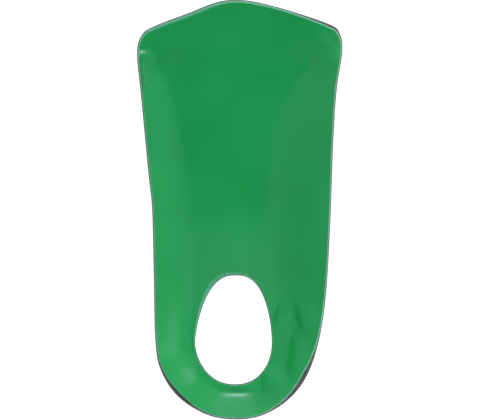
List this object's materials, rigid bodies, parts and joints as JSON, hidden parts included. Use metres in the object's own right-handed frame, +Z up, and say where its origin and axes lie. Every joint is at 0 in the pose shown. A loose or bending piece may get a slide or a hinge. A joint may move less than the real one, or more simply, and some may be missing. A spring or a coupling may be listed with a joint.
{
  "type": "heel stabilizer",
  "caption": "Three-quarter-length foot support: a smooth green cover on a thin dark moulded shell, cupped at the heel, raised at the inner arch, with an egg-shaped heel opening.",
  "frame": {"origin": "centre of the bounding box in plan, on the ground that the underside rests on", "axes": "+Z up to the foot's side, +Y from the heel to the toes, +X to the inner side of the left foot"},
  "size_m": [0.082, 0.167, 0.0171],
  "materials": {
    "moulded_shell": "matt, faintly speckled",
    "vinyl_cover": "smooth, half gloss"
  },
  "bodies": {
    "root": {"moulded_shell": "moulded_shell", "vinyl_cover": "vinyl_cover"}
  },
  "joints": []
}
